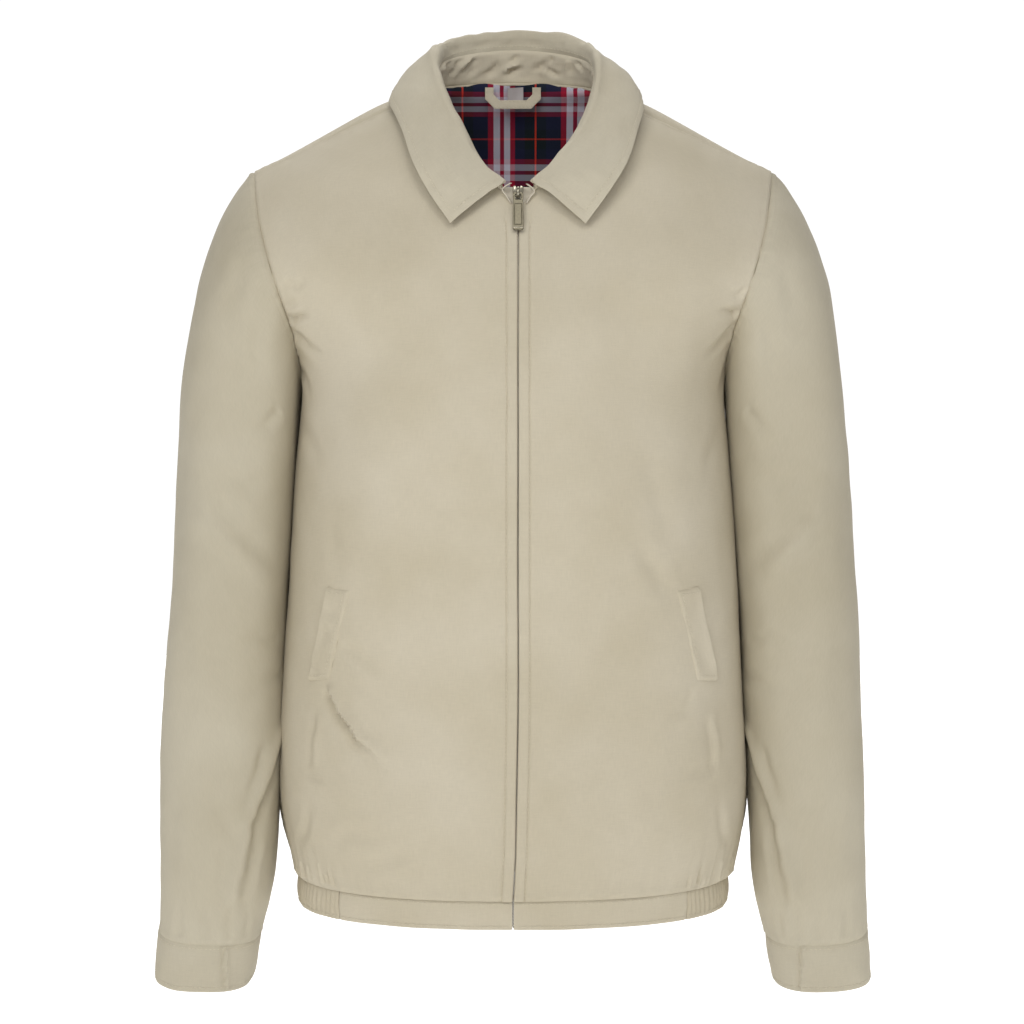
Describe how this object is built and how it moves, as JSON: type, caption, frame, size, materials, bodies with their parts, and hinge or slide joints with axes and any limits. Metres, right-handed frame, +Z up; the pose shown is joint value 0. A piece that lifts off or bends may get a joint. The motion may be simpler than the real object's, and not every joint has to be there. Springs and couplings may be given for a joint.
{
  "type": "harrington jacket",
  "caption": "Zip-front blouson jacket with a shirt collar, set-in sleeves, slanted welt pockets and an elasticated hem, filled out as worn.",
  "frame": {"origin": "midway between the two neck points, where the shoulders of a wearer hold the jacket up", "axes": "+Z up, +X to the wearer's left, and the front faces -Y"},
  "size_m": [0.594, 0.267, 0.785],
  "materials": {
    "shell": "matt stone cotton twill",
    "elastic": "shell cotton gathered over elastic",
    "lining": "brushed navy plaid",
    "tape": "woven zip tape",
    "label": "blank woven label",
    "zip_metal": "dark antique gunmetal"
  },
  "bodies": {
    "garment": {"front_left": "shell", "front_right": "shell", "back": "shell", "back_lining": "lining", "sleeve_left": "shell", "sleeve_right": "shell", "cuff_left": "shell", "cuff_right": "shell", "hem_front_left": "shell", "hem_front_right": "shell", "hem_elastic_left": "elastic", "hem_elastic_right": "elastic", "hem_back": "shell", "collar_stand": "shell", "collar_fall": "shell", "neck_piping": "shell", "hanger_loop": "shell", "neck_label": "label", "pocket_welt_left": "shell", "pocket_welt_right": "shell", "zip_tape_left": "tape", "zip_tape_right": "tape", "zip_chain": "zip_metal", "zip_slider": "zip_metal"},
    "pull_tab": {"zip_pull": "zip_metal"}
  },
  "joints": [
    {"name": "pull_hinge", "type": "hinge", "parent": "garment", "child": "pull_tab", "pos_m": [0.004, -0.0942, -0.0784], "axis": [-1, 0, 0], "range_deg": [0, 125]}
  ]
}
